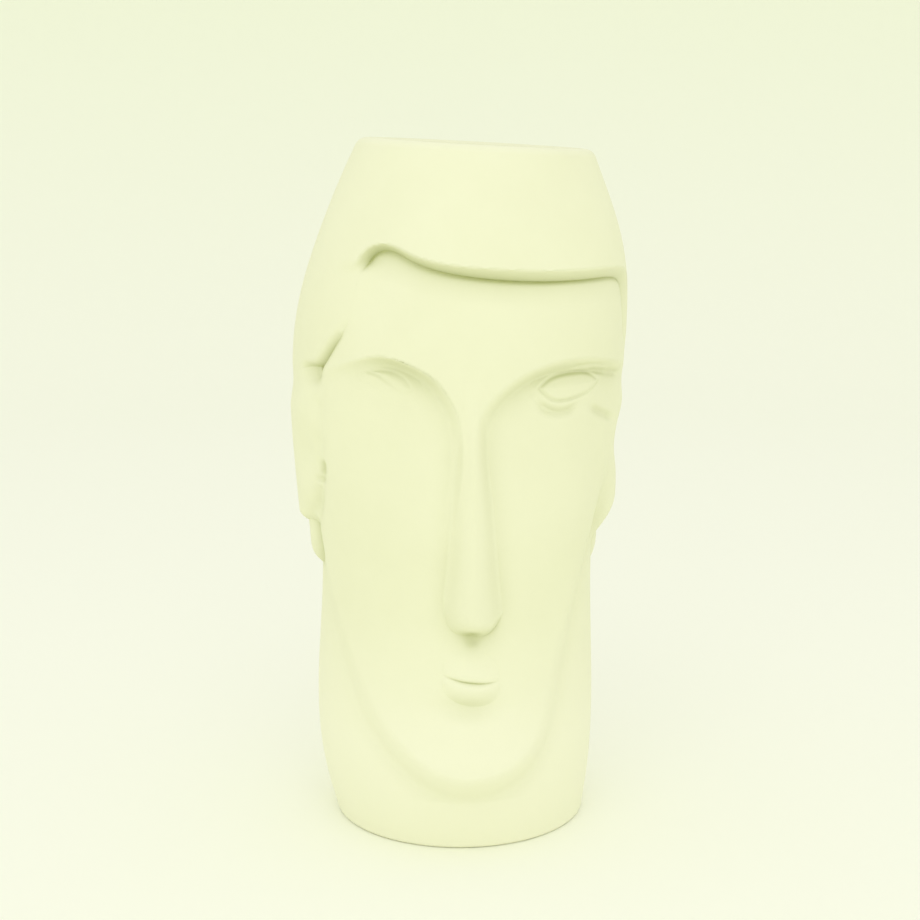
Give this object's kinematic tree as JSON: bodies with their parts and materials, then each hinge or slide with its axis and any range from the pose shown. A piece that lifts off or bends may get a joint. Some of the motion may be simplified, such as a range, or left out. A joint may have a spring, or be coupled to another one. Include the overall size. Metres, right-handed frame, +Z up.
{
  "type": "face vase",
  "caption": "Tall matt ceramic vase shaped as a stylised long face with a swept fringe, ears and ear drops, open at the crown for stems.",
  "frame": {"origin": "centre of the foot, on the surface the vase stands on", "axes": "+Z up towards the open crown, -Y the way the face looks, +X to the viewer's right"},
  "size_m": [0.1487, 0.1524, 0.3026],
  "materials": {
    "bisque": "matt unglazed cream ceramic, smooth and slightly waxy, with a faint yellow-green tint"
  },
  "bodies": {
    "root": {"vessel_wall": "bisque", "floor_disc": "bisque", "face_mask": "bisque", "nose": "bisque", "left_eye": "bisque", "right_eye": "bisque", "upper_lip": "bisque", "lower_lip": "bisque", "hair_fringe": "bisque", "hair_back": "bisque", "left_ear": "bisque", "right_ear": "bisque", "left_ear_drop": "bisque", "right_ear_drop": "bisque"}
  },
  "joints": []
}
